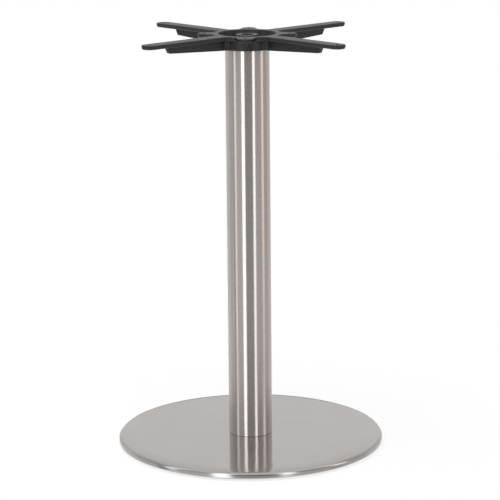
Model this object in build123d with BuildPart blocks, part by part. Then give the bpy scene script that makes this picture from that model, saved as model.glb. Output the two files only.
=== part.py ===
"""Pedestal table frame: a round weighted base, a tube column and a cast four-armed spider for the table top.

The frame stands on the floor at z = 0 with the column on the z axis. The spider's arms lie on the diagonals.
A threaded tie rod runs from the weight in the base, up through the column, to a nut in the spider's hub.
"""
import os
from math import hypot

from build123d import *

os.makedirs("parts", exist_ok=True)

# Driving dimensions, in millimetres and, for drafts, degrees.

# Whole frame.
HEIGHT = 720.0              # floor to the top face of the spider
ARM_COUNT = 4

# Base: a spun cover crimped round an iron weight.
BASE_DIAMETER = 464.0
FLOOR_GAP = 3.0             # floor to the lower edge of the cover
RIM_HEIGHT = 12.5           # lower edge of the cover to its flat top
CROWN_WIDTH = 25.0          # how far in from the edge the top begins to fall
CROWN_FALL = 1.6            # of the top, at the edge
RIM_ROUND = 5.0             # outside radius of the spun edge
LIP_BEND = 2.4              # outside radius of the bend into the lip
LIP_WIDTH = 7.0             # how far the lip reaches in below the weight
COVER_WALL = 1.2
WEIGHT_CLEARANCE = 0.3      # cover to weight, round the edge

# Levelling glides: a steel stud with a moulded foot.
GLIDE_CIRCLE = 372.0        # diameter of the circle that the glides stand on
STUD_DIAMETER = 8.0
STUD_TOP_GAP = 0.4          # stud to the underside of the cover
STUD_GRIP = 2.6             # length of the stud inside the foot
FOOT_DIAMETER = 30.0
FOOT_FLANGE = 1.8           # thickness of the round part of the foot
FOOT_BEVEL = 1.0
FOOT_SPANNER = 22.0         # across the flats of the foot's hexagon
GLIDE_SEAT_GAP = 0.2        # foot to the underside of the weight, screwed right in

# Column.
TUBE_DIAMETER = 76.0
TUBE_WALL = 2.0
LOCATE_CLEARANCE = 0.3      # tube to what centres it, on the radius
LOCATOR_HEIGHT = 10.0
LOCATOR_CHAMFER = 1.5

# Tie rod with its nuts and washers.
ROD_DIAMETER = 10.0
ROD_CHAMFER = 1.0
ROD_END_DROP = 3.8          # rod end below the spider's top face
ROD_HOLE_CLEARANCE = 0.5    # on the radius
THREAD_CLEARANCE = 0.05     # on the radius, for every screwed pair
NUT_FLATS = 16.0
NUT_HEIGHT = 8.4
NUT_CHAMFER = 0.7           # height of the chamfer at the corners
NUT_FACE = 15.4             # diameter of the nut's end faces
WASHER_DIAMETER = 20.0
WASHER_THICKNESS = 2.0
FOOT_WASHER_DIAMETER = 30.0
FOOT_WASHER_THICKNESS = 2.5

# Spider: plate, ribs, hub and ears of one casting.
PLATE_THICKNESS = 7.0
PLATE_DRAFT = 12.0
TIP_CIRCLE = 432.0          # diameter of the circle of the arms' screw holes
ARM_WIDTH = 28.0
SCREW_HOLE = 6.6
RIB_THICKNESS = 8.0         # at the plate
RIB_DRAFT = 2.0
RIB_SETBACK = 34.5          # screw hole to the end of the rib
RIB_END_DEPTH = 18.0        # below the top face
RIB_END_SLANT = 5.5
RIB_END_FILLET = 3.5
RIB_CORNER = 2.0
HUB_DIAMETER = 121.0
DRUM_DIAMETER = 101.0
HUB_DEPTH = 24.5
HUB_FLOOR = 6.0
POCKET_DIAMETER = 98.8
POCKET_FLOOR_DIAMETER = 91.0
POCKET_BEVEL = 3.0          # at the foot of the pocket's wall and of the boss
BOSS_DIAMETER = 38.0
BOSS_FLOOR_DIAMETER = 41.0
BOSS_DROP = 2.0             # boss below the top face
NUT_SINK = 5.0              # nut below the boss
SEAT_CLEARANCE = 0.8        # washer to the counterbore, on the radius
EAR_CIRCLE = 144.0          # diameter of the circle of the ears' screw holes
EAR_ROUND = 12.5
EAR_ROOT = 38.0
GUSSET_THICKNESS = 8.0
GUSSET_REACH = 11.0         # beyond the drum, at the top
GUSSET_RISE = 4.0           # lower end above the hub's underside
PLAN_FILLET = 5.0           # where arms and ears run into the hub
RIB_FILLET = 8.0            # where the ribs run into the drum
CAST_EDGE = 1.2             # bevel round the plate, above the parting line and below
SPIGOT_HEIGHT = 8.0
SPIGOT_WALL = 6.0

# Heights and radii that follow from them.
rim_bottom = FLOOR_GAP
base_top = FLOOR_GAP + RIM_HEIGHT
base_radius = BASE_DIAMETER / 2
crown_start = base_radius - CROWN_WIDTH
rim_top = base_top - CROWN_FALL
weight_bottom = rim_bottom + COVER_WALL
weight_top = base_top - COVER_WALL
hub_bottom = HEIGHT - HUB_DEPTH
plate_bottom = HEIGHT - PLATE_THICKNESS
tube_bore_radius = TUBE_DIAMETER / 2 - TUBE_WALL
locate_radius = tube_bore_radius - LOCATE_CLEARANCE
rod_radius = ROD_DIAMETER / 2
rod_hole_radius = rod_radius + ROD_HOLE_CLEARANCE
boss_top = HEIGHT - BOSS_DROP
top_nut_seat = boss_top - NUT_SINK - NUT_HEIGHT
top_washer_seat = top_nut_seat - WASHER_THICKNESS
foot_washer_seat = base_top + LOCATOR_HEIGHT
foot_nut_seat = foot_washer_seat + FOOT_WASHER_THICKNESS
tip_radius = TIP_CIRCLE / 2
ear_radius = EAR_CIRCLE / 2
rib_end = tip_radius - RIB_SETBACK
arm_angle = 180 / ARM_COUNT
glide_places = PolarLocations(GLIDE_CIRCLE / 2, ARM_COUNT, start_angle=arm_angle, rotate=False)


def on_circle(vertices, radius):
    """The vertices of a sketch that lie on a circle about its origin."""
    return [v for v in vertices if abs(hypot(v.X, v.Y) - radius) < 1e-3]


# Base cover: sheet spun to a flat top that falls a little to its round edge, with a lip turned in below the weight.
# Its bends are round outside. Inside, where they are hidden, a flat that touches the round takes its place.
flat_share = 2 - 2 ** 0.5
inner_rim = (base_radius - COVER_WALL, rim_top - COVER_WALL)
inner_lip = (base_radius - COVER_WALL, weight_bottom)
with BuildPart() as base_cover:
    with BuildSketch(Plane.XZ) as cover_section:
        with BuildLine():
            Polyline(
                (rod_hole_radius, base_top),
                (crown_start, base_top),
                (base_radius, rim_top),
                (base_radius, rim_bottom),
                (base_radius - LIP_WIDTH, rim_bottom),
            )
            offset(amount=COVER_WALL, side=Side.RIGHT, kind=Kind.INTERSECTION)
        make_face()
        for corner, bend in ((inner_rim, RIM_ROUND), (inner_lip, LIP_BEND)):
            inner_corner = cover_section.vertices().sort_by_distance(corner)[0]
            chamfer(inner_corner, (bend - COVER_WALL) * flat_share)
        for corner, bend in (((base_radius, rim_top), RIM_ROUND), ((base_radius, rim_bottom), LIP_BEND)):
            outer_corner = cover_section.vertices().sort_by_distance(corner)[0]
            fillet(outer_corner, bend)
    revolve(axis=Axis.Z)
base_cover.part.label = "base_cover"
export_step(base_cover.part, "parts/base_cover.step")

# Base weight: an iron disc that fills the cover, bevelled to clear its edge and its lip.
# It is tapped for the tie rod and for the glides.
weight_radius = base_radius - COVER_WALL - WEIGHT_CLEARANCE
edge_bevel = CROWN_FALL + RIM_ROUND - COVER_WALL
lip_bevel = LIP_BEND - COVER_WALL
with BuildPart() as base_weight:
    with BuildSketch(Plane.XZ):
        with BuildLine():
            Polyline(
                (0, weight_top),
                (crown_start - WEIGHT_CLEARANCE, weight_top),
                (weight_radius, weight_top - edge_bevel),
                (weight_radius, weight_bottom + lip_bevel),
                (weight_radius - lip_bevel, weight_bottom),
                (0, weight_bottom),
                close=True,
            )
        make_face()
    revolve(axis=Axis.Z)
    with BuildSketch(Plane.XY.offset(weight_bottom)):
        Circle(rod_radius + THREAD_CLEARANCE)
        with glide_places:
            Circle(STUD_DIAMETER / 2 + THREAD_CLEARANCE)
    extrude(amount=weight_top - weight_bottom, mode=Mode.SUBTRACT)
base_weight.part.label = "base_weight"
export_step(base_weight.part, "parts/base_weight.step")

# Levelling glides: each a steel stud in a moulded foot with a hexagon for the spanner.
foot_top = weight_bottom - GLIDE_SEAT_GAP
stud_bottom = foot_top - STUD_GRIP
stud_top = weight_top - STUD_TOP_GAP
for number, place in enumerate(glide_places, start=1):
    with BuildPart() as glide_stud:
        with BuildSketch(Plane(place).offset(stud_bottom)):
            Circle(STUD_DIAMETER / 2)
        extrude(amount=stud_top - stud_bottom)
        chamfer(glide_stud.edges().sort_by(Axis.Z)[-1], STUD_DIAMETER / 10)
    glide_stud.part.label = f"glide_stud_{number}"
    export_step(glide_stud.part, f"parts/glide_stud_{number}.step")

    with BuildPart() as glide_pad:
        with BuildSketch(Plane(place)):
            Circle(FOOT_DIAMETER / 2)
        extrude(amount=FOOT_FLANGE)
        chamfer(glide_pad.edges().sort_by(Axis.Z)[0], FOOT_BEVEL)
        with BuildSketch(Plane(place).offset(FOOT_FLANGE)):
            RegularPolygon(FOOT_SPANNER / 2, 6, major_radius=False)
        extrude(amount=foot_top - FOOT_FLANGE)
        with BuildSketch(Plane(place).offset(foot_top)):
            Circle(STUD_DIAMETER / 2 + THREAD_CLEARANCE)
        extrude(amount=-STUD_GRIP, mode=Mode.SUBTRACT)
    glide_pad.part.label = f"glide_pad_{number}"
    export_step(glide_pad.part, f"parts/glide_pad_{number}.step")

# Column tube, from the top of the base to the underside of the spider's hub.
with BuildPart() as column_tube:
    with BuildSketch(Plane.XY.offset(base_top)):
        Circle(TUBE_DIAMETER / 2)
        Circle(tube_bore_radius, mode=Mode.SUBTRACT)
    extrude(amount=hub_bottom - base_top)
column_tube.part.label = "column_tube"
export_step(column_tube.part, "parts/column_tube.step")

# Foot locator: a turned disc that centres the tube on the base.
with BuildPart() as foot_locator:
    with BuildSketch(Plane.XY.offset(base_top)):
        Circle(locate_radius)
        Circle(rod_hole_radius, mode=Mode.SUBTRACT)
    extrude(amount=LOCATOR_HEIGHT)
    rims = foot_locator.edges().filter_by(GeomType.CIRCLE).sort_by(SortBy.RADIUS)[-2:]
    chamfer(rims.sort_by(Axis.Z)[-1], LOCATOR_CHAMFER)
foot_locator.part.label = "foot_locator"
export_step(foot_locator.part, "parts/foot_locator.step")

# Tie rod, screwed into the weight and held in the hub by the top nut.
rod_bottom = weight_bottom
rod_top = HEIGHT - ROD_END_DROP
with BuildPart() as tie_rod:
    with BuildSketch(Plane.XY.offset(rod_bottom)):
        Circle(rod_radius)
    extrude(amount=rod_top - rod_bottom)
    chamfer(tie_rod.edges().filter_by(GeomType.CIRCLE), ROD_CHAMFER)
tie_rod.part.label = "tie_rod"
export_step(tie_rod.part, "parts/tie_rod.step")

# Washers: one below the top nut, a wider one on the foot locator.
washers = (
    ("top_washer", top_washer_seat, WASHER_DIAMETER, WASHER_THICKNESS),
    ("foot_washer", foot_washer_seat, FOOT_WASHER_DIAMETER, FOOT_WASHER_THICKNESS),
)
for label, seat, diameter, thickness in washers:
    with BuildPart() as washer:
        with BuildSketch(Plane.XY.offset(seat)):
            Circle(diameter / 2)
            Circle(rod_hole_radius, mode=Mode.SUBTRACT)
        extrude(amount=thickness)
    washer.part.label = label
    export_step(washer.part, f"parts/{label}.step")

# Nuts: hexagons with both ends turned to a cone, so that the corners are chamfered.
for label, seat in (("top_nut", top_nut_seat), ("foot_nut", foot_nut_seat)):
    with BuildPart() as nut:
        with BuildSketch(Plane.XY.offset(seat)):
            RegularPolygon(NUT_FLATS / 2, 6, major_radius=False)
            Circle(rod_radius + THREAD_CLEARANCE, mode=Mode.SUBTRACT)
        extrude(amount=NUT_HEIGHT)
        with BuildSketch(Plane.XZ):
            with BuildLine():
                Polyline(
                    (0, seat),
                    (NUT_FACE / 2, seat),
                    (NUT_FLATS / 2 ** 0.5, seat + NUT_CHAMFER * 2),
                    (NUT_FLATS / 2 ** 0.5, seat + NUT_HEIGHT - NUT_CHAMFER * 2),
                    (NUT_FACE / 2, seat + NUT_HEIGHT),
                    (0, seat + NUT_HEIGHT),
                    close=True,
                )
            make_face()
        revolve(axis=Axis.Z, mode=Mode.INTERSECT)
    nut.part.label = label
    export_step(nut.part, f"parts/{label}.step")

# Outline of one ear: the hull of its round end and its root on the hub.
with BuildSketch() as ear:
    with Locations((ear_radius, 0)):
        Circle(EAR_ROUND)
    with Locations((DRUM_DIAMETER / 2, 0)):
        Rectangle(1, EAR_ROOT)
    make_hull()

# Outline of the spider's plate at the casting's parting line: hub ring, arms with round ends, and ears.
with BuildSketch() as plate_plan:
    Circle(HUB_DIAMETER / 2)
    with PolarLocations(tip_radius / 2, ARM_COUNT, start_angle=arm_angle):
        Rectangle(tip_radius, ARM_WIDTH)
    with PolarLocations(tip_radius, ARM_COUNT, start_angle=arm_angle):
        Circle(ARM_WIDTH / 2)
    with PolarLocations(0, ARM_COUNT):
        add(ear.sketch)
    fillet(on_circle(plate_plan.vertices(), HUB_DIAMETER / 2), PLAN_FILLET)

# Top spider: a flat plate of arms, hub ring and ears, stiffened by a drum and ribs below it.
parting_line = HEIGHT - CAST_EDGE
with BuildPart() as top_spider:
    # The plate: bevelled above the parting line, drafted below it, and bevelled again at its underside.
    with BuildSketch(Plane.XY.offset(parting_line)):
        add(plate_plan.sketch)
    extrude(amount=CAST_EDGE, taper=45)
    with BuildSketch(-Plane.XY.offset(parting_line)):
        add(plate_plan.sketch)
    extrude(amount=PLATE_THICKNESS - CAST_EDGE * 2, taper=PLATE_DRAFT)
    extrude(top_spider.faces().sort_by(Axis.Z)[0], amount=CAST_EDGE, taper=45)

    # Drum and ribs, drafted downwards, and as deep as the hub all along.
    rib_run = rib_end + RIB_END_FILLET * 2
    with BuildSketch(-Plane.XY.offset(plate_bottom)) as web_plan:
        Circle(DRUM_DIAMETER / 2)
        with PolarLocations(rib_run / 2, ARM_COUNT, start_angle=arm_angle):
            Rectangle(rib_run, RIB_THICKNESS)
        fillet(on_circle(web_plan.vertices(), DRUM_DIAMETER / 2), RIB_FILLET)
    extrude(amount=plate_bottom - hub_bottom, taper=RIB_DRAFT)

    # The ribs' sloping underside and slanted end, turned away below the plate.
    slope_start = DRUM_DIAMETER / 2 + RIB_FILLET
    rib_end_bottom = HEIGHT - RIB_END_DEPTH
    with BuildSketch(Plane.XZ) as slope:
        with BuildLine():
            Polyline(
                (slope_start, hub_bottom),
                (rib_end - RIB_END_SLANT, rib_end_bottom),
                (rib_end, plate_bottom),
                (rib_run + RIB_END_FILLET, plate_bottom),
                (rib_run + RIB_END_FILLET, hub_bottom - RIB_CORNER),
                (slope_start, hub_bottom - RIB_CORNER),
                close=True,
            )
        make_face()
        rib_corner = (rib_end - RIB_END_SLANT, rib_end_bottom)
        rib_root = (rib_end, plate_bottom)
        for corner, round_radius in ((rib_corner, RIB_CORNER), (rib_root, RIB_END_FILLET)):
            fillet(slope.vertices().sort_by_distance(corner)[0], round_radius)
    revolve(axis=Axis.Z, mode=Mode.SUBTRACT)

    # A gusset below each ear.
    drum_radius = DRUM_DIAMETER / 2
    for place in PolarLocations(0, ARM_COUNT):
        with BuildSketch(Plane(place) * Plane.XZ):
            with BuildLine():
                Polyline(
                    (drum_radius - GUSSET_THICKNESS / 2, plate_bottom),
                    (drum_radius + GUSSET_REACH, plate_bottom),
                    (drum_radius, hub_bottom + GUSSET_RISE),
                    (drum_radius - GUSSET_THICKNESS / 2, hub_bottom + GUSSET_RISE),
                    close=True,
                )
            make_face()
        extrude(amount=GUSSET_THICKNESS / 2, both=True)

    # The ring-shaped pocket of the hub, with the boss left standing in it.
    pocket_floor = hub_bottom + HUB_FLOOR
    with BuildSketch(Plane.XZ) as pocket:
        with BuildLine():
            Polyline(
                (0, HEIGHT),
                (POCKET_DIAMETER / 2, HEIGHT),
                (POCKET_FLOOR_DIAMETER / 2, pocket_floor),
                (BOSS_FLOOR_DIAMETER / 2, pocket_floor),
                (BOSS_DIAMETER / 2, boss_top),
                (0, boss_top),
                close=True,
            )
        make_face()
        corners = pocket.vertices()
        wall_foot = corners.sort_by_distance((POCKET_FLOOR_DIAMETER / 2, pocket_floor))[0]
        boss_foot = corners.sort_by_distance((BOSS_FLOOR_DIAMETER / 2, pocket_floor))[0]
        chamfer([wall_foot, boss_foot], POCKET_BEVEL)
    revolve(axis=Axis.Z, mode=Mode.SUBTRACT)

    # The spigot that centres the tube.
    with BuildSketch(Plane.XY.offset(hub_bottom)):
        Circle(locate_radius)
        Circle(locate_radius - SPIGOT_WALL, mode=Mode.SUBTRACT)
    extrude(amount=-SPIGOT_HEIGHT)

    # Counterbore for the nut, and the screw holes for the table top.
    with Locations((0, 0, boss_top)):
        CounterBoreHole(rod_hole_radius, WASHER_DIAMETER / 2 + SEAT_CLEARANCE, boss_top - top_washer_seat)
    with Locations((0, 0, HEIGHT)):
        with PolarLocations(tip_radius, ARM_COUNT, start_angle=arm_angle):
            Hole(SCREW_HOLE / 2)
        with PolarLocations(ear_radius, ARM_COUNT):
            Hole(SCREW_HOLE / 2)
top_spider.part.label = "top_spider"
export_step(top_spider.part, "parts/top_spider.step")
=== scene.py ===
import math

import bmesh
import bpy
from mathutils import Matrix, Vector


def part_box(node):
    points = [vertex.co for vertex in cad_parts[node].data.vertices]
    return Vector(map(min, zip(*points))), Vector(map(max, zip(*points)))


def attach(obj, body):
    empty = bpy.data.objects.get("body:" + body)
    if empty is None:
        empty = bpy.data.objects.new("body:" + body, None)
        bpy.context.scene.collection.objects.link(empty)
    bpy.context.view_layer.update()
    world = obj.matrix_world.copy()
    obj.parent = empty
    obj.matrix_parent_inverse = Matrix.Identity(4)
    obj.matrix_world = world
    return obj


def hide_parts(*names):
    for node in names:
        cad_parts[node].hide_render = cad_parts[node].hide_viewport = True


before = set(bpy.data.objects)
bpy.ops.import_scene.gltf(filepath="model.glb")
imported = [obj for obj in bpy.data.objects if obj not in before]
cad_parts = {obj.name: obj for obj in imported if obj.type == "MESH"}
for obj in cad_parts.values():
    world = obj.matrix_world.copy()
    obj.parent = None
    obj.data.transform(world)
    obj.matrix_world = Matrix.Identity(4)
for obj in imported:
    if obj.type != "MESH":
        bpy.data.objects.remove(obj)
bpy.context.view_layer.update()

# Base weight: an iron disc, cast and turned flat, with a thin coat of dark primer.
# It lies inside the cover, and only its underside shows, between the glides.
PRIMER = (0.028, 0.029, 0.031, 1)
PRIMER_PALE = (0.047, 0.048, 0.051, 1)
PRIMER_ROUGHNESS = (0.50, 0.75)
PRIMER_RELIEF = 0.00025
SWELL_SHARE = 2.0


def new_finish(name):
    """A new material, with its node tree and its Principled shader."""
    material = bpy.data.materials.new(name)
    material.use_nodes = True
    return material, material.node_tree, material.node_tree.nodes["Principled BSDF"]


def coat(material, *names):
    """Gives CAD nodes a finish."""
    for name in names:
        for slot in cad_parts[name].material_slots:
            slot.material = material


def place_effect(tree, effect, **values):
    """A shared effect, placed in a material with its own values."""
    node = tree.nodes.new("ShaderNodeGroup")
    node.node_tree = effect
    for socket, value in values.items():
        node.inputs[socket].default_value = value
    return node


def blend_colours(tree, factor, first, second):
    """The colour between two colours that a varying value picks."""
    mix = tree.nodes.new("ShaderNodeMix")
    mix.data_type = "RGBA"
    mix.inputs["A"].default_value = first
    mix.inputs["B"].default_value = second
    tree.links.new(factor, mix.inputs["Factor"])
    return mix.outputs["Result"]


def spread(tree, value, low, high):
    """A value between 0 and 1, stretched to lie between low and high."""
    stretch = tree.nodes.new("ShaderNodeMapRange")
    stretch.inputs["To Min"].default_value = low
    stretch.inputs["To Max"].default_value = high
    tree.links.new(value, stretch.inputs["Value"])
    return stretch.outputs["Result"]


def vary_finish(tree, shader, value, colours, roughness):
    """Lets a varying value pick the colour and the roughness, each between two."""
    tree.links.new(blend_colours(tree, value, *colours), shader.inputs["Base Color"])
    tree.links.new(spread(tree, value, *roughness), shader.inputs["Roughness"])


def raise_surface(tree, finish, height, distance):
    """A bump on the normal of a shader, or under another bump."""
    bump = tree.nodes.new("ShaderNodeBump")
    bump.inputs["Strength"].default_value = 1.0
    bump.inputs["Distance"].default_value = distance
    tree.links.new(height, bump.inputs["Height"])
    tree.links.new(bump.outputs["Normal"], finish.inputs["Normal"])
    return bump


# The skin of a casting under paint: fine grain, on a slow swell that also carries its mottling.
cast_skin = bpy.data.node_groups.new("cast_skin", "ShaderNodeTree")
for socket in ("Grain", "Swell"):
    cast_skin.interface.new_socket(name=socket, in_out="INPUT", socket_type="NodeSocketFloat")
for socket in ("Height", "Mottle"):
    cast_skin.interface.new_socket(name=socket, in_out="OUTPUT", socket_type="NodeSocketFloat")
skin_in = cast_skin.nodes.new("NodeGroupInput")
skin_out = cast_skin.nodes.new("NodeGroupOutput")
skin_place = cast_skin.nodes.new("ShaderNodeTexCoord")
skin_grain = cast_skin.nodes.new("ShaderNodeTexNoise")
skin_grain.inputs["Detail"].default_value = 1.5
skin_swell = cast_skin.nodes.new("ShaderNodeTexNoise")
skin_swell.inputs["Detail"].default_value = 3.0
skin_sum = cast_skin.nodes.new("ShaderNodeMath")
skin_sum.operation = "MULTIPLY_ADD"
skin_sum.inputs[1].default_value = SWELL_SHARE
for texture, scale in ((skin_grain, "Grain"), (skin_swell, "Swell")):
    cast_skin.links.new(skin_place.outputs["Object"], texture.inputs["Vector"])
    cast_skin.links.new(skin_in.outputs[scale], texture.inputs["Scale"])
cast_skin.links.new(skin_swell.outputs["Fac"], skin_sum.inputs[0])
cast_skin.links.new(skin_grain.outputs["Fac"], skin_sum.inputs[2])
cast_skin.links.new(skin_sum.outputs["Value"], skin_out.inputs["Height"])
cast_skin.links.new(skin_swell.outputs["Fac"], skin_out.inputs["Mottle"])

primer, tree, shader = new_finish("primed_iron")
skin = place_effect(tree, cast_skin, Grain=700, Swell=45)
vary_finish(tree, shader, skin.outputs["Mottle"], (PRIMER, PRIMER_PALE), PRIMER_ROUGHNESS)
raise_surface(tree, shader, skin.outputs["Height"], PRIMER_RELIEF)
coat(primer, "base_weight")

# Base cover: stainless sheet, spun over a former to a flat top that falls softly to a round edge.
# Its lip is turned in below the weight. The top keeps the sheet's straight grain, and the edge
# is polished.
COVER_WALL = 0.0012
ROD_HOLE = 0.0055
CROWN_WIDTH = 0.0148
CROWN_SLOPE = math.radians(7.3)
CROWN_BEND = 0.0100
RIM_BEND = 0.0044
LIP_BEND = 0.0024
LIP_WIDTH = 0.0070
POLISHED_WIDTH = 0.005
SHARP_EDGE = math.radians(50)
SPIN_STEPS = 192
SHEET_STEEL = (0.560, 0.546, 0.538, 1)
SHEET_STEEL_PALE = (0.612, 0.597, 0.588, 1)
SHEET_ROUGHNESS = (0.10, 0.17)
SHEET_STRETCH = 0.8
SCRATCH_DEPTH = 0.00001
POLISHED_STEEL = (0.495, 0.495, 0.500, 1)
POLISHED_STEEL_PALE = (0.550, 0.550, 0.555, 1)
POLISHED_ROUGHNESS = (0.12, 0.22)
RIPPLE_HEIGHT = 0.0009
RIPPLE_PATTERN = 4.6

# Fine parallel scratches, with a few broader ones between them.
brushed_grain = bpy.data.node_groups.new("brushed_grain", "ShaderNodeTree")
for socket in ("Fine", "Broad"):
    brushed_grain.interface.new_socket(
        name=socket, in_out="INPUT", socket_type="NodeSocketVector"
    )
brushed_grain.interface.new_socket(name="Grain", in_out="OUTPUT", socket_type="NodeSocketFloat")
grain_in = brushed_grain.nodes.new("NodeGroupInput")
grain_out = brushed_grain.nodes.new("NodeGroupOutput")
grain_place = brushed_grain.nodes.new("ShaderNodeTexCoord")
grain_mean = brushed_grain.nodes.new("ShaderNodeMix")
for scale, share in (("Fine", "A"), ("Broad", "B")):
    mapping = brushed_grain.nodes.new("ShaderNodeMapping")
    scratches = brushed_grain.nodes.new("ShaderNodeTexNoise")
    scratches.inputs["Scale"].default_value = 1.0
    scratches.inputs["Detail"].default_value = 2.0
    brushed_grain.links.new(grain_place.outputs["Object"], mapping.inputs["Vector"])
    brushed_grain.links.new(grain_in.outputs[scale], mapping.inputs["Scale"])
    brushed_grain.links.new(mapping.outputs["Vector"], scratches.inputs["Vector"])
    brushed_grain.links.new(scratches.outputs["Fac"], grain_mean.inputs[share])
brushed_grain.links.new(grain_mean.outputs["Result"], grain_out.inputs["Grain"])

# The sheet is never quite flat after spinning: slow ripples, which also carry its faint stains.
spun_ripple = bpy.data.node_groups.new("spun_ripple", "ShaderNodeTree")
spun_ripple.interface.new_socket(name="Ripple", in_out="OUTPUT", socket_type="NodeSocketFloat")
ripple_out = spun_ripple.nodes.new("NodeGroupOutput")
ripple_place = spun_ripple.nodes.new("ShaderNodeTexCoord")
ripple_swell = spun_ripple.nodes.new("ShaderNodeTexNoise")
ripple_swell.noise_dimensions = "4D"
ripple_swell.inputs["W"].default_value = RIPPLE_PATTERN
ripple_swell.inputs["Scale"].default_value = 11.0
ripple_swell.inputs["Detail"].default_value = 2.0
spun_ripple.links.new(ripple_place.outputs["Object"], ripple_swell.inputs["Vector"])
spun_ripple.links.new(ripple_swell.outputs["Fac"], ripple_out.inputs["Ripple"])

sheet, tree, shader = new_finish("satin_sheet_steel")
shader.inputs["Metallic"].default_value = 1.0
shader.inputs["Anisotropic"].default_value = SHEET_STRETCH
grain = place_effect(tree, brushed_grain, Fine=(14, 3500, 3500), Broad=(5, 420, 420))
ripple = place_effect(tree, spun_ripple)
steel = blend_colours(tree, ripple.outputs["Ripple"], SHEET_STEEL, SHEET_STEEL_PALE)
tree.links.new(steel, shader.inputs["Base Color"])
roughness = spread(tree, grain.outputs["Grain"], *SHEET_ROUGHNESS)
tree.links.new(roughness, shader.inputs["Roughness"])
grain_run = tree.nodes.new("ShaderNodeTangent")
grain_run.direction_type = "RADIAL"
grain_run.axis = "X"
tree.links.new(grain_run.outputs["Tangent"], shader.inputs["Tangent"])
scratches = raise_surface(tree, shader, grain.outputs["Grain"], SCRATCH_DEPTH)
raise_surface(tree, scratches, ripple.outputs["Ripple"], RIPPLE_HEIGHT)

edge, tree, shader = new_finish("polished_sheet_steel")
shader.inputs["Metallic"].default_value = 1.0
ripple = place_effect(tree, spun_ripple).outputs["Ripple"]
vary_finish(tree, shader, ripple, (POLISHED_STEEL, POLISHED_STEEL_PALE), POLISHED_ROUGHNESS)
raise_surface(tree, shader, ripple, RIPPLE_HEIGHT)


def make_piece(name, bm, material):
    """An object in the scene from a mesh that is ready."""
    mesh = bpy.data.meshes.new(name)
    bm.to_mesh(mesh)
    bm.free()
    mesh.materials.append(material)
    piece = bpy.data.objects.new(name, mesh)
    bpy.context.scene.collection.objects.link(piece)
    return piece


cover_low, cover_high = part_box("base_cover")
bm = bmesh.new()
section = (
    (ROD_HOLE, cover_high.z),
    (cover_high.x - 2 * CROWN_WIDTH, cover_high.z),
    (cover_high.x - CROWN_WIDTH, cover_high.z),
    (cover_high.x, cover_high.z - CROWN_WIDTH * math.tan(CROWN_SLOPE)),
    (cover_high.x, cover_low.z),
    (cover_high.x - LIP_WIDTH, cover_low.z),
)
corners = [bm.verts.new((reach, 0, height)) for reach, height in section]
for pair in zip(corners, corners[1:]):
    bm.edges.new(pair)
crown, rim, lip = corners[2:5]
for corner, bend, segments in ((crown, CROWN_BEND, 10), (rim, RIM_BEND, 12), (lip, LIP_BEND, 6)):
    bmesh.ops.bevel(
        bm, geom=[corner, *corner.link_edges], offset=bend, segments=segments, profile=0.5,
        affect="VERTICES", material=-1,
    )
bmesh.ops.spin(
    bm, geom=bm.verts[:] + bm.edges[:], cent=(0, 0, 0), axis=(0, 0, 1), angle=math.tau,
    steps=SPIN_STEPS, use_merge=True,
)
bmesh.ops.recalc_face_normals(bm, faces=bm.faces)
bmesh.ops.solidify(bm, geom=bm.faces[:], thickness=COVER_WALL)
for face in bm.faces:
    face.smooth = True
    middle = face.calc_center_median()
    if math.hypot(middle.x, middle.y) > cover_high.x - POLISHED_WIDTH:
        face.material_index = 1
cover = make_piece("spun_cover", bm, sheet)
cover.data.materials.append(edge)
cover.data.set_sharp_from_angle(angle=SHARP_EDGE)
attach(cover, "frame")
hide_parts("base_cover")

# Levelling glides: zinc-plated studs with a rolled M8 thread, screwed up into the weight.
# Each is moulded into a black nylon foot with a hexagon for the spanner.
GLIDE_COUNT = 4
STUD_PITCH = 0.00125
STUD_THREAD_DEPTH = 0.00068
THREAD_ROOT = 0.12
THREAD_CREST = 0.12
THREAD_STEPS = 24
ZINC = (0.56, 0.57, 0.565, 1)
ZINC_BLUE = (0.48, 0.50, 0.52, 1)
ZINC_ROUGHNESS = (0.22, 0.42)
NYLON = (0.020, 0.020, 0.021, 1)
NYLON_WORN = (0.036, 0.036, 0.036, 1)
NYLON_ROUGHNESS = (0.38, 0.58)
NYLON_RELIEF = 0.00004


def add_thread(bm, crest, depth, pitch, low, high):
    """Adds a threaded length of bar about the z axis to a mesh, with its upper end tapered."""
    turn = bmesh.new()
    root = crest - depth
    profile = (
        (root, 0.0), (root, THREAD_ROOT), (crest, 0.5 - THREAD_CREST / 2),
        (crest, 0.5 + THREAD_CREST / 2), (root, 1.0 - THREAD_ROOT), (root, 1.0),
    )
    rung = [turn.verts.new((reach, 0, low + (part - 1) * pitch)) for reach, part in profile]
    edges = [turn.edges.new(pair) for pair in zip(rung, rung[1:])]
    turns = math.ceil((high - low) / pitch) + 2
    bmesh.ops.spin(
        turn, geom=rung + edges, cent=(0, 0, 0), axis=(0, 0, 1),
        dvec=(0, 0, pitch / THREAD_STEPS), angle=math.tau * turns, steps=THREAD_STEPS * turns,
    )
    bmesh.ops.remove_doubles(turn, verts=turn.verts, dist=pitch / 500)
    for height, outward in ((low, -1), (high, 1)):
        cut = bmesh.ops.bisect_plane(
            turn, geom=turn.verts[:] + turn.edges[:] + turn.faces[:], plane_co=(0, 0, height),
            plane_no=(0, 0, outward), clear_outer=True,
        )
        rim = [part for part in cut["geom_cut"] if isinstance(part, bmesh.types.BMEdge)]
        bmesh.ops.holes_fill(turn, edges=rim)
    for vertex in turn.verts:
        reach = math.hypot(vertex.co.x, vertex.co.y)
        limit = crest - max(0.0, vertex.co.z - (high - depth))
        if reach > limit:
            vertex.co.x *= limit / reach
            vertex.co.y *= limit / reach
    bmesh.ops.recalc_face_normals(turn, faces=turn.faces)
    part = bpy.data.meshes.new("thread")
    turn.to_mesh(part)
    turn.free()
    bm.from_mesh(part)
    bpy.data.meshes.remove(part)


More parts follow.
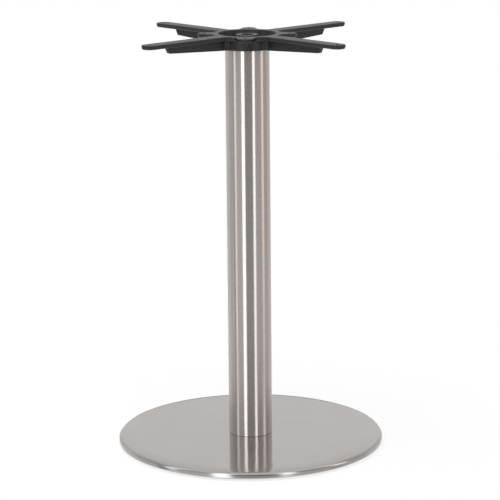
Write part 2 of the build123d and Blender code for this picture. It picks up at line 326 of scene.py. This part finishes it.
plate, tree, shader = new_finish("zinc_plate")
shader.inputs["Metallic"].default_value = 1.0
skin = place_effect(tree, cast_skin, Grain=2500, Swell=300)
vary_finish(tree, shader, skin.outputs["Mottle"], (ZINC, ZINC_BLUE), ZINC_ROUGHNESS)

nylon, tree, shader = new_finish("moulded_nylon")
skin = place_effect(tree, cast_skin, Grain=3000, Swell=160)
vary_finish(tree, shader, skin.outputs["Mottle"], (NYLON, NYLON_WORN), NYLON_ROUGHNESS)
raise_surface(tree, shader, skin.outputs["Height"], NYLON_RELIEF)

for number in range(1, GLIDE_COUNT + 1):
    stud_low, stud_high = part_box(f"glide_stud_{number}")
    stud_radius = (stud_high.x - stud_low.x) / 2
    middle = (stud_low + stud_high) / 2
    bm = bmesh.new()
    add_thread(bm, stud_radius, STUD_THREAD_DEPTH, STUD_PITCH, stud_low.z, stud_high.z)
    bmesh.ops.translate(bm, verts=bm.verts, vec=(middle.x, middle.y, 0))
    stud = make_piece(f"stud_thread_{number}", bm, plate)
    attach(stud, f"glide_{number}")
    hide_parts(f"glide_stud_{number}")
    coat(nylon, f"glide_pad_{number}")

# Foot locator: a plain steel disc that centres the tube on the base.
# It is turned to fit the tube's bore, and the nut above it clamps it down on the cover.
TURNED_STEEL = (0.40, 0.395, 0.39, 1)
TURNED_STEEL_PALE = (0.50, 0.495, 0.49, 1)
TURNED_ROUGHNESS = (0.25, 0.40)

turned, tree, shader = new_finish("turned_steel")
shader.inputs["Metallic"].default_value = 1.0
grain = place_effect(tree, brushed_grain, Fine=(60, 60, 4000), Broad=(40, 40, 900))
turned_colours = (TURNED_STEEL, TURNED_STEEL_PALE)
vary_finish(tree, shader, grain.outputs["Grain"], turned_colours, TURNED_ROUGHNESS)
coat(turned, "foot_locator")

# Tie rod with its nuts and washers: black-oxide steel, a rod with a rolled M10 thread.
# It is screwed into the weight and drawn tight by the top nut. Its sawn end stands in the
# spider's boss.
ROD_PITCH = 0.0015
ROD_THREAD_DEPTH = 0.00082
ROD_HEAD_THREAD = 0.021
ROD_FOOT_THREAD = 0.012
BLACK_OXIDE = (0.018, 0.018, 0.019, 1)
BLACK_OXIDE_RUBBED = (0.045, 0.044, 0.044, 1)
OXIDE_ROUGHNESS = (0.30, 0.50)
OXIDE_RELIEF = 0.00003
SAWN_STEEL = (0.17, 0.165, 0.16, 1)
SAWN_STEEL_PALE = (0.24, 0.235, 0.23, 1)
SAWN_ROUGHNESS = (0.35, 0.55)

oxide, tree, shader = new_finish("black_oxide")
skin = place_effect(tree, cast_skin, Grain=1800, Swell=260)
oxide_colours = (BLACK_OXIDE, BLACK_OXIDE_RUBBED)
vary_finish(tree, shader, skin.outputs["Mottle"], oxide_colours, OXIDE_ROUGHNESS)
raise_surface(tree, shader, skin.outputs["Height"], OXIDE_RELIEF)
coat(oxide, "top_nut", "top_washer", "foot_nut", "foot_washer")

sawn, tree, shader = new_finish("sawn_end")
shader.inputs["Metallic"].default_value = 1.0
skin = place_effect(tree, cast_skin, Grain=2200, Swell=500)
vary_finish(tree, shader, skin.outputs["Mottle"], (SAWN_STEEL, SAWN_STEEL_PALE), SAWN_ROUGHNESS)

rod_low, rod_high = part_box("tie_rod")
shank_low = rod_low.z + ROD_FOOT_THREAD
shank_high = rod_high.z - ROD_HEAD_THREAD
shank_radius = rod_high.x - ROD_THREAD_DEPTH / 2
bm = bmesh.new()
bmesh.ops.create_cone(
    bm, cap_ends=True, segments=48, radius1=shank_radius, radius2=shank_radius,
    depth=shank_high - shank_low,
    matrix=Matrix.Translation((0, 0, (shank_low + shank_high) / 2)),
)
add_thread(bm, rod_high.x, ROD_THREAD_DEPTH, ROD_PITCH, rod_low.z, shank_low)
add_thread(bm, rod_high.x, ROD_THREAD_DEPTH, ROD_PITCH, shank_high, rod_high.z)
rod = make_piece("rod_thread", bm, oxide)
rod.data.materials.append(sawn)
for face in rod.data.polygons:
    if face.normal.z > 0.9 and face.center.z > rod_high.z - ROD_THREAD_DEPTH / 2:
        face.material_index = 1
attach(rod, "frame")
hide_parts("tie_rod")

# Column: a stainless tube, satin polished with a belt that ran round it.
# Its scratches lie round the tube, so that lights show as sharp upright streaks.
# A thin line of painted shade darkens its cut foot, where it stands on the cover.
TUBE_STEEL = (0.563, 0.528, 0.510, 1)
TUBE_STEEL_PALE = (0.634, 0.599, 0.580, 1)
TUBE_ROUGHNESS = (0.20, 0.30)
QUARTER_TURN = 0.25
FOOT_SHADE = (0.20, 0.19, 0.18, 1)
FOOT_LINE = 0.0011

tube_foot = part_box("column_tube")[0].z
tube, tree, shader = new_finish("satin_tube_steel")
shader.inputs["Metallic"].default_value = 1.0
shader.inputs["Anisotropic"].default_value = 1.0
shader.inputs["Anisotropic Rotation"].default_value = QUARTER_TURN
grain = place_effect(tree, brushed_grain, Fine=(30, 30, 4500), Broad=(12, 12, 500))
steel = blend_colours(tree, grain.outputs["Grain"], TUBE_STEEL, TUBE_STEEL_PALE)
place = tree.nodes.new("ShaderNodeTexCoord")
height = tree.nodes.new("ShaderNodeSeparateXYZ")
tree.links.new(place.outputs["Object"], height.inputs["Vector"])
# Painted shade: the base colour darkens over the lowest millimetre of the tube, where it meets the
# cover.
foot_line = tree.nodes.new("ShaderNodeMapRange")
foot_line.inputs["From Min"].default_value = tube_foot
foot_line.inputs["From Max"].default_value = tube_foot + FOOT_LINE
tree.links.new(height.outputs["Z"], foot_line.inputs["Value"])
shaded_foot = tree.nodes.new("ShaderNodeMix")
shaded_foot.data_type = "RGBA"
shaded_foot.inputs["A"].default_value = FOOT_SHADE
tree.links.new(foot_line.outputs["Result"], shaded_foot.inputs["Factor"])
tree.links.new(steel, shaded_foot.inputs["B"])
tree.links.new(shaded_foot.outputs["Result"], shader.inputs["Base Color"])
roughness = spread(tree, grain.outputs["Grain"], *TUBE_ROUGHNESS)
tree.links.new(roughness, shader.inputs["Roughness"])
belt_run = tree.nodes.new("ShaderNodeTangent")
belt_run.direction_type = "RADIAL"
belt_run.axis = "Z"
tree.links.new(belt_run.outputs["Tangent"], shader.inputs["Tangent"])
coat(tube, "column_tube")

# Top spider: cast iron with a satin black powder coat, which is baked on over the as-cast skin.
# The coat has a fine orange peel, and it softens every edge of the casting.
POWDER = (0.0130, 0.0148, 0.0180, 1)
POWDER_PALE = (0.0185, 0.0206, 0.0242, 1)
POWDER_ROUGHNESS = (0.30, 0.44)
POWDER_SHEEN = 0.42
PEEL_RELIEF = 0.00012
EDGE_SOFTNESS = 0.0022

powder, tree, shader = new_finish("powder_coat")
shader.inputs["Specular IOR Level"].default_value = POWDER_SHEEN
skin = place_effect(tree, cast_skin, Grain=850, Swell=60)
vary_finish(tree, shader, skin.outputs["Mottle"], (POWDER, POWDER_PALE), POWDER_ROUGHNESS)
peel = raise_surface(tree, shader, skin.outputs["Height"], PEEL_RELIEF)
soft_edge = tree.nodes.new("ShaderNodeBevel")
soft_edge.samples = 6
soft_edge.inputs["Radius"].default_value = EDGE_SOFTNESS
tree.links.new(soft_edge.outputs["Normal"], peel.inputs["Normal"])
coat(powder, "top_spider")

# Camera. It stands a little under four metres off, slightly right of the frame's own front, and
# looks down at it through a long lens, tipped by about half a degree.
CAMERA_DISTANCE = 3.6619
CAMERA_HEIGHT = 1.1749
CAMERA_AZIMUTH = math.radians(2.3491)
CAMERA_YAW = 0.00045
CAMERA_PITCH = 0.2235
CAMERA_ROLL = -0.00890
SENSOR_WIDTH = 36.0
FOCAL_PIXELS = 2164.28
IMAGE_PIXELS = 500

scene = bpy.context.scene
scene.view_settings.view_transform = "Standard"
camera_data = bpy.data.cameras.new("camera")
camera_data.sensor_width = SENSOR_WIDTH
camera_data.lens = FOCAL_PIXELS * SENSOR_WIDTH / IMAGE_PIXELS
camera = bpy.data.objects.new("camera", camera_data)
scene.collection.objects.link(camera)
camera_place = (
    CAMERA_DISTANCE * math.sin(CAMERA_AZIMUTH),
    -CAMERA_DISTANCE * math.cos(CAMERA_AZIMUTH),
    CAMERA_HEIGHT,
)
camera.matrix_world = (
    Matrix.Translation(camera_place)
    @ Matrix.Rotation(CAMERA_AZIMUTH - CAMERA_YAW, 4, "Z")
    @ Matrix.Rotation(math.pi / 2 - CAMERA_PITCH, 4, "X")
    @ Matrix.Rotation(CAMERA_ROLL, 4, "Z")
)
scene.camera = camera

# Room: white all round, to the camera and in reflections.
# Everything matt gets an even half light from it.
ROOM_WHITE = (1, 1, 1, 1)
ROOM_LIGHT = 0.55

world = bpy.data.worlds.new("room")
scene.world = world
world.use_nodes = True
tree = world.node_tree
backdrop = tree.nodes["Background"]
backdrop.inputs["Color"].default_value = ROOM_WHITE
path = tree.nodes.new("ShaderNodeLightPath")
seen = path.outputs["Is Camera Ray"]
for ray in ("Is Glossy Ray", "Is Transmission Ray"):
    either = tree.nodes.new("ShaderNodeMath")
    either.operation = "MAXIMUM"
    tree.links.new(seen, either.inputs[0])
    tree.links.new(path.outputs[ray], either.inputs[1])
    seen = either.outputs["Value"]
tree.links.new(spread(tree, seen, ROOM_LIGHT, 1.0), backdrop.inputs["Strength"])

# Floor: a round of pale paper that looks white and fades into the room before its edge.
# It keeps the soft shadow under the base and is clear from below. Shiny things don't mirror it.
FLOOR_RADIUS = 0.62
FLOOR_FADE = (0.25, 0.589)
FLOOR_GAP = 0.0002
PAPER = (0.55, 0.52, 0.48, 1)
PAPER_ROUGHNESS = 0.9
PAPER_WHITE = (0.95, 0.95, 0.95, 1)
SHADOW_DEPTH = 0.22

bm = bmesh.new()
bmesh.ops.create_circle(bm, cap_ends=True, segments=96, radius=FLOOR_RADIUS)
bmesh.ops.translate(bm, verts=bm.verts, vec=(0, 0, -FLOOR_GAP))
paper, tree, shader = new_finish("floor_paper")
floor = make_piece("floor", bm, paper)
shader.inputs["Base Color"].default_value = PAPER
shader.inputs["Roughness"].default_value = PAPER_ROUGHNESS
shader.inputs["Specular IOR Level"].default_value = 0.0
white = tree.nodes.new("ShaderNodeEmission")
shaded = tree.nodes.new("ShaderNodeBsdfDiffuse")
shaded.inputs["Color"].default_value = PAPER_WHITE
clear = tree.nodes.new("ShaderNodeBsdfTransparent")
place = tree.nodes.new("ShaderNodeTexCoord")
radius = tree.nodes.new("ShaderNodeVectorMath")
radius.operation = "LENGTH"
tree.links.new(place.outputs["Object"], radius.inputs[0])
fade = tree.nodes.new("ShaderNodeMapRange")
fade.interpolation_type = "SMOOTHSTEP"
fade.inputs["From Min"].default_value = FLOOR_FADE[0]
fade.inputs["From Max"].default_value = FLOOR_FADE[1]
fade.inputs["To Min"].default_value = SHADOW_DEPTH
fade.inputs["To Max"].default_value = 0.0
tree.links.new(radius.outputs["Value"], fade.inputs["Value"])
path = tree.nodes.new("ShaderNodeLightPath")
side = tree.nodes.new("ShaderNodeNewGeometry")
shadowed = tree.nodes.new("ShaderNodeMixShader")
tree.links.new(fade.outputs["Result"], shadowed.inputs["Fac"])
tree.links.new(white.outputs["Emission"], shadowed.inputs[1])
tree.links.new(shaded.outputs["BSDF"], shadowed.inputs[2])
upper_side = tree.nodes.new("ShaderNodeMixShader")
tree.links.new(path.outputs["Is Camera Ray"], upper_side.inputs["Fac"])
tree.links.new(shader.outputs["BSDF"], upper_side.inputs[1])
tree.links.new(shadowed.outputs["Shader"], upper_side.inputs[2])
both_sides = tree.nodes.new("ShaderNodeMixShader")
tree.links.new(side.outputs["Backfacing"], both_sides.inputs["Fac"])
tree.links.new(upper_side.outputs["Shader"], both_sides.inputs[1])
tree.links.new(clear.outputs["BSDF"], both_sides.inputs[2])
tree.links.new(both_sides.outputs["Shader"], tree.nodes["Material Output"].inputs["Surface"])
floor.visible_glossy = False

# Studio: a large soft lamp above, and round the frame a ring of tall screens under a pale ceiling,
# which only shiny things mirror. Two lit strips stand either side of the camera, with shade between
# them, and the screens opposite are grey.
SCREEN_REACH = 4.0
SCREEN_FOOT = -2.5
SCREEN_HEAD = 4.5
SCREEN_STEPS = 16
FRONT_SHADE = (-1.2, 0.0)
BACK_SHADE = (1.2, 2.6)
CEILING = (0.80, 0.79, 0.78, 1)
INNER_REACH = 3.8
WALL_FOOT = 0.95
WALL_SHADE = (WALL_FOOT, 1.6)
REAR_HEAD = 0.45
LAMP_SIZE = (2.4, 2.0)
LAMP_POWER = 62
LAMP_PLACE = (-0.5, -0.6, 3.0)
LAMP_TILT = (math.radians(10), math.radians(-9), 0)


def light_screen(name, bm):
    """A screen in the scene that only shiny things mirror, with its node tree and its light."""
    cloth, tree, _ = new_finish(name)
    screen = make_piece(name, bm, cloth)
    for rays in ("camera", "diffuse", "transmission", "volume_scatter", "shadow"):
        setattr(screen, f"visible_{rays}", False)
    light = tree.nodes.new("ShaderNodeEmission")
    tree.links.new(light.outputs["Emission"], tree.nodes["Material Output"].inputs["Surface"])
    return tree, light


def hang_screen(
    name, start, end, shade_heights, lower_light, upper_light,
    reach=SCREEN_REACH, bottom=SCREEN_FOOT, top=SCREEN_HEAD,
):
    """A curved screen between two bearings from the camera's, whose light changes with height."""
    bm = bmesh.new()
    foot = bm.verts.new((0, -reach, bottom))
    head = bm.verts.new((0, -reach, top))
    upright = bm.edges.new((foot, head))
    bearing = Matrix.Rotation(CAMERA_AZIMUTH + math.radians(start), 3, "Z")
    bmesh.ops.rotate(bm, verts=bm.verts, cent=(0, 0, 0), matrix=bearing)
    bmesh.ops.spin(
        bm, geom=[foot, head, upright], cent=(0, 0, 0), axis=(0, 0, 1),
        angle=math.radians(end - start), steps=SCREEN_STEPS,
    )
    tree, light = light_screen(name, bm)
    place = tree.nodes.new("ShaderNodeTexCoord")
    height = tree.nodes.new("ShaderNodeSeparateXYZ")
    tree.links.new(place.outputs["Object"], height.inputs["Vector"])
    shade = tree.nodes.new("ShaderNodeMapRange")
    shade.inputs["From Min"].default_value = shade_heights[0]
    shade.inputs["From Max"].default_value = shade_heights[1]
    tree.links.new(height.outputs["Z"], shade.inputs["Value"])
    colour = blend_colours(tree, shade.outputs["Result"], (*lower_light, 1), (*upper_light, 1))
    tree.links.new(colour, light.inputs["Color"])


hang_screen("left_far", -115, -85, FRONT_SHADE, (0.71, 0.69, 0.67), (0.52, 0.507, 0.494))
hang_screen("left_gap", -85, -75.5, FRONT_SHADE, (0.36, 0.35, 0.34), (0.40, 0.39, 0.38))
hang_screen("left_line", -75.5, -65, FRONT_SHADE, (0.90, 0.862, 0.843), (1.50, 1.47, 1.45))
hang_screen("left_grey", -65, -32.5, FRONT_SHADE, (0.69, 0.66, 0.635), (0.54, 0.525, 0.505))
hang_screen("left_strip", -32.5, -17, FRONT_SHADE, (2.05, 2.05, 2.02), (2.50, 2.50, 2.50))
hang_screen("camera_side", -17, 24.5, FRONT_SHADE, (0.46, 0.430, 0.403), (0.115, 0.108, 0.101))
hang_screen("right_strip", 24.5, 37, FRONT_SHADE, (1.12, 1.07, 1.03), (2.30, 2.28, 2.27))
hang_screen("right_grey", 37, 73.5, FRONT_SHADE, (0.64, 0.60, 0.565), (0.44, 0.418, 0.393))
hang_screen("right_line", 73.5, 87, FRONT_SHADE, (0.52, 0.478, 0.444), (1.46, 1.347, 1.295))
hang_screen("right_far", 87, 115, FRONT_SHADE, (0.66, 0.616, 0.557), (0.48, 0.455, 0.413))
hang_screen("right_back", 115, 152, FRONT_SHADE, (0.74, 0.713, 0.658), (0.655, 0.637, 0.60))
hang_screen("back_wall", 152, 208, BACK_SHADE, (0.755, 0.740, 0.732), (0.66, 0.64, 0.63))
hang_screen("left_back", 208, 245, FRONT_SHADE, (0.79, 0.776, 0.734), (0.68, 0.671, 0.653))

# Just inside the ring: a paler wall above the camera, and low strips behind the frame with shade
# between them, so that from behind and from above the metal has something to mirror as well.
hang_screen(
    "camera_wall", -19, 27, WALL_SHADE, (0.30, 0.29, 0.28), (0.62, 0.61, 0.60),
    reach=INNER_REACH, bottom=WALL_FOOT,
)
for name, start, end, glow in (
    ("rear_right_strip", 164, 169, (1.45, 1.43, 1.41)),
    ("rear_shade", 169, 190, (0.30, 0.287, 0.273)),
    ("rear_left_strip", 190, 196, (1.60, 1.58, 1.56)),
):
    hang_screen(name, start, end, FRONT_SHADE, glow, glow, reach=INNER_REACH, top=REAR_HEAD)

bm = bmesh.new()
bmesh.ops.create_circle(bm, cap_ends=True, segments=64, radius=SCREEN_REACH)
bmesh.ops.translate(bm, verts=bm.verts, vec=(0, 0, SCREEN_HEAD))
tree, light = light_screen("ceiling", bm)
light.inputs["Color"].default_value = CEILING

lamp_data = bpy.data.lights.new("overhead_lamp", "AREA")
lamp_data.shape = "RECTANGLE"
lamp_data.size, lamp_data.size_y = LAMP_SIZE
lamp_data.energy = LAMP_POWER
lamp = bpy.data.objects.new("overhead_lamp", lamp_data)
lamp.location = LAMP_PLACE
lamp.rotation_euler = LAMP_TILT
lamp.visible_glossy = False
scene.collection.objects.link(lamp)
